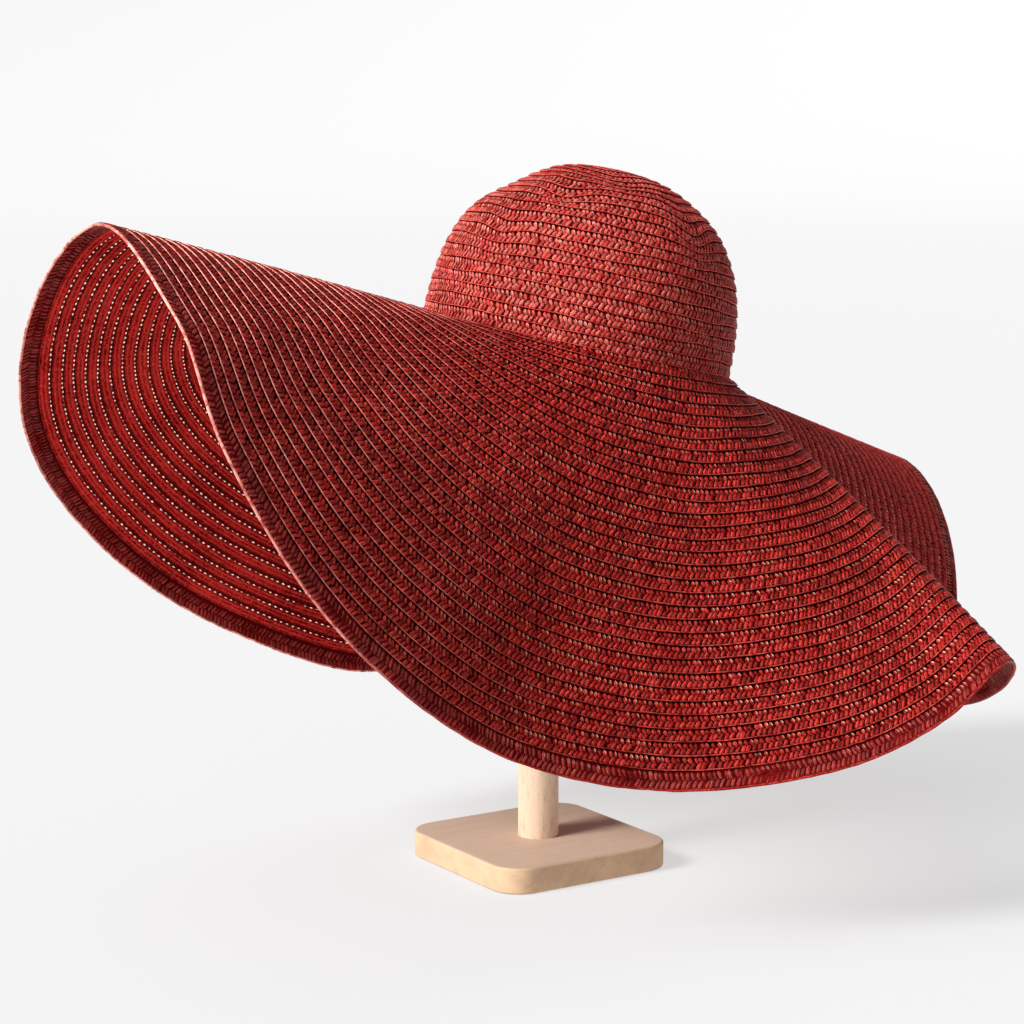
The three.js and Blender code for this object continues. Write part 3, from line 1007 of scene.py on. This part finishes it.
def rim_finish(name, deep, bright, highlight_share):
    finish = Finish(name)
    place = finish.place()
    twist = finish.noise(place, RIM_TWIST, 2.0, 0.6)
    slow = finish.noise(place, RIM_PATCHES, 2.0)
    colour = finish.mix((twist * 0.7 + slow * 0.4).over(0.42, 0.75), deep, bright)
    across_hat, _, _ = finish.split(place)
    # Painted highlight: the rims are painted pale on the raised left of the brim, where the key light falls,
    # broken up by noise.
    highlight_breakup = finish.noise(place, HIGHLIGHT_BREAKUP, 2.0, 0.6).over(0.36, 0.58)
    pale_highlight = (1 - across_hat.over(*HIGHLIT_SIDE)) * (highlight_breakup * 0.75 + 0.25) * (slow * 2.0 - 0.05) * highlight_share
    colour = finish.mix(pale_highlight, colour, RIM_HIGHLIGHT)
    normal = finish.bump(twist, 0.0004, 0.8)
    return finish.surface({"Base Color": colour, "Roughness": 0.36 + twist * 0.2, "Normal": normal},
                          {"Specular IOR Level": 0.2, "Specular Tint": STRAW_GLOSS})


crown_rim = rim_finish("crown_rim_finish", (0.36, 0.014, 0.012), (0.76, 0.11, 0.08), 0.0)
brim_rim = rim_finish("brim_rim_finish", (0.16, 0.004, 0.005), (0.60, 0.07, 0.055), 1.0)
sweep_rims = rim_tree()
rim_pieces = {}
for kind, rows, material in (("crown", crown_rows, crown_rim), ("brim", brim_rows, brim_rim)):
    lines = rim_lines(f"{kind}_rim_lines", rows, RIM_SEEDS[kind])
    rim_pieces[kind] = run_tree(f"{kind}_rims", lines, sweep_rims, {
        "Radius": RIM_RADIUS, "Sides": RIM_FACETS, "Material": material})

# %% [markdown]
# ## The bound edge
#
# The last row is turned under and sewn down, so the brim ends in a thicker, rounded band. It is one
# closed ring: a flattened, round-nosed section carried round the edge of the lattice. Straws lie over it
# and under it, a few frayed fibres stick out, and a thin cord runs along its outermost line.

# %% Build the bound edge
EDGE_SIDES = 480

# Share of the width and height in metres, from the inner side over the top and back below
EDGE_SECTION = [
    (-0.02, 0.0), (0.04, 0.0004), (0.30, 0.0007), (0.62, 0.0007), (0.88, 0.0006), (0.975, 0.0004),
    (0.99, 0.0), (0.975, -0.0004), (0.88, -0.0006), (0.62, -0.0007), (0.30, -0.0007), (0.04, -0.0004),
]

# Height, waves round the edge, turn of the wave
EDGE_WAVES = [(0.00025, 41, 0), (0.0002, 17, 1)]

# The part of the width that waves
WAVY_PART = (0.2, 0.95)


def bound_edge(name):
    azimuth = np.arange(EDGE_SIDES) * 360 / EDGE_SIDES
    waver = sum(height * np.sin(np.radians(azimuth) * waves + turn) for height, waves, turn in EDGE_WAVES)
    rings = []
    for across, height in EDGE_SECTION:
        share = brim_rows_end + (1 - brim_rows_end) * across
        rings.append(brim.at(share, azimuth, height + waver * (WAVY_PART[0] < across < WAVY_PART[1])))
    points = np.array(rings)
    count = len(EDGE_SECTION)
    index = np.arange(count * EDGE_SIDES).reshape(count, EDGE_SIDES)
    stitches = stitch_count(brim.ring(1.0))
    faces, maps = [], []
    share = np.arange(EDGE_SIDES) / EDGE_SIDES
    for line in range(count):
        ahead = (line + 1) % count
        a, b = index[line], np.roll(index[line], -1)
        c, d = np.roll(index[ahead], -1), index[ahead]
        faces.append(np.stack([d, c, b, a], 1))
        maps.append(face_corners(share * stitches, (share + 1 / EDGE_SIDES) * stitches,
                                 (line + 1) / count, line / count))
    return mesh_object(name, points.reshape(-1, 3).tolist(), np.concatenate(faces).tolist(),
                       np.concatenate(maps))


edge_ground = bound_edge("edge_band")

# %% Straws over the bound edge
class EdgeRow(Rows):
    """The single bound row, which is thicker than the others and lies level."""

    def __init__(self, height):
        super().__init__(brim, 1, 1.0, 0.0, 0)
        self.height = height

    def share(self, row, across, azimuth):
        return brim_rows_end + (1 - brim_rows_end) * across + 0 * azimuth

    def lap(self, row, across, azimuth):
        return self.height + 0 * azimuth

    def middle(self, row):
        return 1.0


EDGE_HEIGHTS = (0.0003, -0.0010)
EDGE_STRAW_LENGTH = 0.94
EDGE_SEED = 21
FRAYED_FIBRES = 150
FIBRE_LIFT = 0.0006
FIBRE_TURN = 0.45
FIBRE_SIZE = (1.5, 0.13, 0.2)
EDGE_CORD_RADIUS = 0.0008
EDGE_CORD_FACETS = 8
EDGE_CORD_SEED = 9


def edge_places():
    chance = np.random.default_rng(EDGE_SEED)
    places = []
    for height in EDGE_HEIGHTS:
        places += straw_places(EdgeRow(height), 0, chance)
    joined = join_places(places)
    joined["size"][:, 0] *= EDGE_STRAW_LENGTH
    frayed = chance.choice(len(joined["point"]), FRAYED_FIBRES, replace=False)
    fibres = {key: value[frayed].copy() for key, value in joined.items()}
    lifted = chance.normal(0, FIBRE_LIFT, (FRAYED_FIBRES, 1))
    fibres["point"] = fibres["point"] + fibres["facing"] * lifted
    fibres["along"] = fibres["along"] + chance.normal(0, FIBRE_TURN, (FRAYED_FIBRES, 3))
    fibres["size"] = fibres["size"] * FIBRE_SIZE
    return cloud_object("edge_places", join_places([joined, fibres]))


edge_straw = straw_finish("edge_straw_finish", (0.11, 0.002, 0.003), (0.30, 0.010, 0.010),
                          (0.56, 0.060, 0.048), (0.95, 0.45, 0.36), 0.6, 0.5)
# Painted shade: the edge band's ground is painted dark, as shade under its straws.
edge_ground_finish = ground_finish("edge_ground_finish", (0.05, 0.002, 0.002), (0.16, 0.006, 0.006), False)
edge_ground.data.materials.append(edge_ground_finish)
edge_straws = run_tree("edge_straws", edge_places(), lay_straws, {
    "Straw": straw, "Depth share": 1.0, "Material": edge_straw})
edge_rim = rim_finish("edge_rim_finish", (0.20, 0.006, 0.006), (0.48, 0.035, 0.028), 1.0)
cord_line = rim_lines("edge_cord_line", EdgeRow(0.0), EDGE_CORD_SEED, 0.0)
edge_cord = run_tree("edge_cord", cord_line, sweep_rims, {
    "Radius": EDGE_CORD_RADIUS, "Sides": EDGE_CORD_FACETS, "Material": edge_rim})

# %% [markdown]
# ## The wooden stand
#
# The foot is a square slab with round corners and softened edges, the post is a round rod, and the rest
# under the crown is a small dome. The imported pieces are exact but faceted, so each is made again with
# finer rounding from the same sizes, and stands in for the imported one.

# %% Sizes of the stand
BASE_WIDTH = 0.120
BASE_THICKNESS = 0.016
BASE_CORNER = 0.019
BASE_ROUND = 0.0016
BASE_TURN = math.radians(33)
POST_RADIUS = 0.0123
POST_RISE = 0.3645
REST_RADIUS = 0.032
REST_HEIGHT = 0.030
REST_BORE = 0.014
REST_EDGE = 0.002
POST_SUNK = 0.002
CLEARANCE = 0.0003
ROUNDING_STEPS = 8
CORNER_STEPS = 16
CIRCLE_SIDES = 96
EDGE_STEPS = 4
DOME_STEPS = 16
SHARP_ANGLE = math.radians(40)


def stand_turned(points):
    cos, sin = math.cos(BASE_TURN), math.sin(BASE_TURN)
    points = np.asarray(points, float)
    return np.stack([points[:, 0] * cos - points[:, 1] * sin, points[:, 0] * sin + points[:, 1] * cos,
                     points[:, 2]], 1)


def stacked_rings(name, rings, low_point, high_point):
    count = len(rings[0])
    points = np.concatenate([np.concatenate(rings), [low_point], [high_point]])
    low, high = len(points) - 2, len(points) - 1
    faces = []
    for ring in range(len(rings) - 1):
        for side in range(count):
            after = (side + 1) % count
            faces.append((ring * count + side, ring * count + after, (ring + 1) * count + after,
                          (ring + 1) * count + side))
    last = (len(rings) - 1) * count
    for side in range(count):
        after = (side + 1) % count
        faces.append((after, side, low))
        faces.append((last + side, last + after, high))
    made = mesh_object(name, stand_turned(points).tolist(), faces)
    made.data.set_sharp_from_angle(angle=SHARP_ANGLE)
    return made


# %% The foot, the post and the rest
def rounded_square(half, corner, height):
    points = []
    for quarter in range(4):
        middle = math.radians(45 + 90 * quarter)
        reach = math.sqrt(2) * (half - corner)
        for step in range(CORNER_STEPS + 1):
            angle = math.radians(90 * quarter + 90 * step / CORNER_STEPS)
            points.append((reach * math.cos(middle) + corner * math.cos(angle),
                           reach * math.sin(middle) + corner * math.sin(angle), height))
    return np.array(points)


def circle_ring(radius, height):
    angle = np.arange(CIRCLE_SIDES) * 2 * np.pi / CIRCLE_SIDES
    return np.stack([radius * np.cos(angle), radius * np.sin(angle), height + 0 * angle], 1)


def foot_rings():
    angles = [math.pi / 2 * step / ROUNDING_STEPS for step in range(ROUNDING_STEPS + 1)]
    sides = [(1 - math.sin(angle), BASE_ROUND * (1 - math.cos(angle))) for angle in angles]
    sides += [(1 - math.cos(angle), BASE_THICKNESS - BASE_ROUND * (1 - math.sin(angle))) for angle in angles]
    rings = []
    for share, height in sides:
        inset = BASE_ROUND * share
        rings.append(rounded_square(BASE_WIDTH / 2 - inset, BASE_CORNER - inset, height))
    rings.append(rounded_square(BASE_WIDTH / 4, BASE_CORNER / 2, BASE_THICKNESS))
    return rings


stand_foot = stacked_rings("stand_foot", foot_rings(), (0, 0, 0), (0, 0, BASE_THICKNESS))
post_top = BASE_THICKNESS + POST_RISE + REST_BORE - CLEARANCE
stand_rod = stacked_rings("stand_rod", [
    circle_ring(POST_RADIUS, BASE_THICKNESS - POST_SUNK),
    circle_ring(POST_RADIUS, BASE_THICKNESS + POST_RISE / 2),
    circle_ring(POST_RADIUS, post_top),
], (0, 0, BASE_THICKNESS - POST_SUNK), (0, 0, post_top))


def rest_rings():
    underside = BASE_THICKNESS + POST_RISE
    rings = [circle_ring(radius, underside) for radius in (POST_RADIUS + CLEARANCE, REST_RADIUS - REST_EDGE)]
    for step in range(1, EDGE_STEPS + 1):
        angle = math.pi / 2 * step / EDGE_STEPS
        rings.append(circle_ring(REST_RADIUS - REST_EDGE * (1 - math.sin(angle)),
                                 underside + REST_EDGE * (1 - math.cos(angle))))
    for step in range(1, DOME_STEPS):
        distance = REST_RADIUS * math.cos(math.pi / 2 * step / DOME_STEPS)
        height = REST_EDGE + (REST_HEIGHT - REST_EDGE) * math.sqrt(1 - (distance / REST_RADIUS) ** 2)
        rings.append(circle_ring(distance, underside + height))
    return rings


stand_cap = stacked_rings("stand_cap", rest_rings(), (0, 0, BASE_THICKNESS + POST_RISE),
                          (0, 0, BASE_THICKNESS + POST_RISE + REST_HEIGHT))

# %% [markdown]
# ## Pale wood
#
# The stand is pale beech: a pinkish cream with soft bands of growth and the short dark flecks that beech
# always shows. The sides of the foot are warmer, with blotches and slanting marks of the saw, and they are
# also painted lighter than the top, as painted light. The post's grain runs up it, with thin darker streaks.
# All of it follows the piece's own place, turned with the foot.

# %% Wood finishes
SIDE_TILT = (0.3, 0.85)
SIDE_SHARE = 0.75
SIDE_BLOTCHES = 42.0


def wood_finish(name, grain_axis, banding, marks, pale, band, fleck, warm_lit_sides):
    finish = Finish(name)
    turned = finish.node("ShaderNodeMapping", {"vector_type": "POINT"},
                         {"Vector": finish.place(), "Rotation": (0.0, 0.0, -BASE_TURN)})
    x, y, z = finish.split(turned)
    run, cross, depth = {"x": (x, y, z), "z": (z, x, y)}[grain_axis]

    def grain(along_scale, across_scale, detail, roughness=0.5):
        drawn_out = finish.join(run * along_scale, cross * across_scale, depth * across_scale)
        return finish.noise(drawn_out, 1.0, detail, roughness)

    slow = grain(2.5, 26.0, 3.0)
    rings = ((cross * 520.0 + slow * 22.0 + depth * 160.0).sine() * 0.5 + 0.5) ** 2.0
    fine = grain(60.0, 1900.0, 3.0, 0.6)
    tick = grain(330.0, 2600.0, 1.0).over(0.66, 0.74)
    colour = finish.mix((rings * banding + slow * 0.8 - 0.2).over(0.0, 1.0), pale, band)
    colour = finish.mix(fine.over(0.45, 0.8) * 0.35, colour, band)
    colour = finish.mix(tick * 0.35, colour, fleck)
    colour = finish.mix(grain(95.0, 460.0, 3.0, 0.6).over(0.54, 0.70) * marks, colour, fleck)
    height = fine * 0.5 + rings * 0.2 - tick * 0.5
    # Painted light: the sides of the foot get a warmer colour, painted lighter than the top's.
    if warm_lit_sides:
        facing = finish.node("ShaderNodeNewGeometry", output="Normal")
        _, _, up = finish.split(facing)
        side = 1 - up.over(*SIDE_TILT)
        blotch = finish.noise(finish.place(), SIDE_BLOTCHES, 4.0, 0.62)
        side_colour = finish.mix(blotch.over(0.40, 0.66) * 0.38, warm_lit_sides, fleck)
        level = (x + y) * 0.7
        slanted = finish.join((level + z * 1.1) * 65.0, (z - level) * 620.0, 4.0)
        scratch = finish.noise(slanted, 1.0, 3.0, 0.6)
        side_colour = finish.mix(scratch.over(0.55, 0.70) * 0.45, side_colour, fleck)
        colour = finish.mix(side * SIDE_SHARE, colour, side_colour)
    normal = finish.bump(height, 0.0003, 0.5)
    return finish.surface({"Base Color": colour, "Roughness": 0.52 + fine * 0.16, "Normal": normal},
                          {"Specular IOR Level": 0.4})


foot_wood = wood_finish("foot_wood_finish", "x", 0.12, 0.15, (0.46, 0.34, 0.25), (0.39, 0.27, 0.19),
                        (0.28, 0.16, 0.10), (0.66, 0.42, 0.24))
post_wood = wood_finish("post_wood_finish", "z", 0.40, 0.55, (0.74, 0.57, 0.43), (0.64, 0.46, 0.32),
                        (0.42, 0.27, 0.17), None)
stand_foot.data.materials.append(foot_wood)
stand_rod.data.materials.append(post_wood)
stand_cap.data.materials.append(post_wood)

# %% [markdown]
# ## Floor and light
#
# The hat stands on a plain pale floor that runs up into a low round wall, as in a photographer's cove, so
# no view meets a corner or a horizon. The floor glows a little, as a lit table does, which keeps its
# shadows faint and lights the hat from below. A soft key comes from the left, a weak, wide one from the
# front reaches under the brim, and another from above lights the top of the crown.

# %% The cove
PALE = 0.80
FLOOR_GLOW = 0.605
FLOOR_SHARE = 0.245
COVE_FLAT = 9.0
COVE_BEND = 3.0
COVE_TOP = 3.6
COVE_SIDES = 96
COVE_STEPS = 12
FLOOR_RINGS = (0.5, 3.0)
FLOOR_DROP = 0.0002


def cove():
    finish = Finish("floor_finish")
    mottle = finish.noise(finish.place(), 1.3, 2.0)
    grey = (FLOOR_SHARE * PALE,) * 3
    colour = finish.mix(mottle * 0.2, grey, darker(grey, 0.97))
    material = finish.surface({"Base Color": colour}, {
        "Roughness": 0.9, "Specular IOR Level": 0.0,
        "Emission Color": (1.0, 1.0, 1.0, 1.0), "Emission Strength": FLOOR_GLOW})
    outline = [(radius, 0.0) for radius in (*FLOOR_RINGS, COVE_FLAT)]
    for step in range(1, COVE_STEPS + 1):
        angle = math.pi / 2 * step / COVE_STEPS
        outline.append((COVE_FLAT + COVE_BEND * math.sin(angle), COVE_BEND * (1 - math.cos(angle))))
    outline.append((COVE_FLAT + COVE_BEND, COVE_TOP))
    points, faces = [(0.0, 0.0, 0.0)], []
    for radius, height in outline:
        for side in range(COVE_SIDES):
            angle = 2 * math.pi * side / COVE_SIDES
            points.append((radius * math.cos(angle), radius * math.sin(angle), height))
    for side in range(COVE_SIDES):
        after = (side + 1) % COVE_SIDES
        faces.append((0, 1 + side, 1 + after))
        for ring in range(len(outline) - 1):
            low, high = 1 + ring * COVE_SIDES, 1 + (ring + 1) * COVE_SIDES
            faces.append((low + side, high + side, high + after, low + after))
    made = mesh_object("floor", points, faces)
    made.data.materials.append(material)
    made.location.z = -FLOOR_DROP
    return made


floor = cove()

# %% The lights
KEY = dict(name="soft_key", strength=5.5, softness=20, origin=(-0.75, -0.45, 0.66))
FRONT = dict(name="wide_front", strength=0.4, softness=50, origin=(-0.25, -0.9, 0.42))
TOP = dict(name="wide_top", strength=0.7, softness=40, origin=(-0.3, 0.1, 1.0))
SURROUND = 0.22
SURROUND_COLOUR = (0.985, 0.99, 1.0, 1.0)


def sun(name, strength, softness, origin):
    data = bpy.data.lights.new(name, "SUN")
    data.energy = strength
    data.angle = math.radians(softness)
    made = add_object(name, data)
    made.rotation_euler = Vector(origin).to_track_quat("Z", "Y").to_euler()


for light in (KEY, FRONT, TOP):
    sun(**light)
world = bpy.data.worlds.new("surround")
world.use_nodes = True
surround = world.node_tree.nodes["Background"]
surround.inputs["Color"].default_value = SURROUND_COLOUR
surround.inputs["Strength"].default_value = SURROUND
scene.world = world
scene.view_settings.view_transform = "Standard"
print("lights", KEY["name"], FRONT["name"], TOP["name"], "surround", SURROUND)

# %% [markdown]
# ## Attach each piece and hide the one it replaces
#
# Each piece rides on the one body and stands in for the imported piece that it replaces, which is hidden.

# %% Ride on the body and hide the replaced pieces
stands_for = [
    (crown_ground, "crown", "crown_straw"),
    (straw_pieces["crown_straws"], "crown", "crown_straw"),
    (rim_pieces["crown"], "crown", "crown_straw"),
    (brim_ground, "brim", "brim_straw"),
    (straw_pieces["brim_straws_1"], "brim", "brim_straw"),
    (straw_pieces["brim_straws_2"], "brim", "brim_straw"),
    (straw_pieces["brim_straws_3"], "brim", "brim_straw"),
    (rim_pieces["brim"], "brim", "brim_straw"),
    (edge_ground, "brim_edge", "edge_straw"),
    (edge_straws, "brim_edge", "edge_straw"),
    (edge_cord, "brim_edge", "edge_straw"),
    (stand_foot, "stand_base", "base_wood"),
    (stand_rod, "stand_post", "post_wood"),
    (stand_cap, "hat_rest", "rest_wood"),
]
for piece, node, slot in stands_for:
    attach(piece, "root")
    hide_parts(node)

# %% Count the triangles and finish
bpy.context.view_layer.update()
total = sum(len(face.vertices) - 2 for piece, _, _ in stands_for for face in piece.data.polygons)
print("the pieces have", total, "triangles in all")
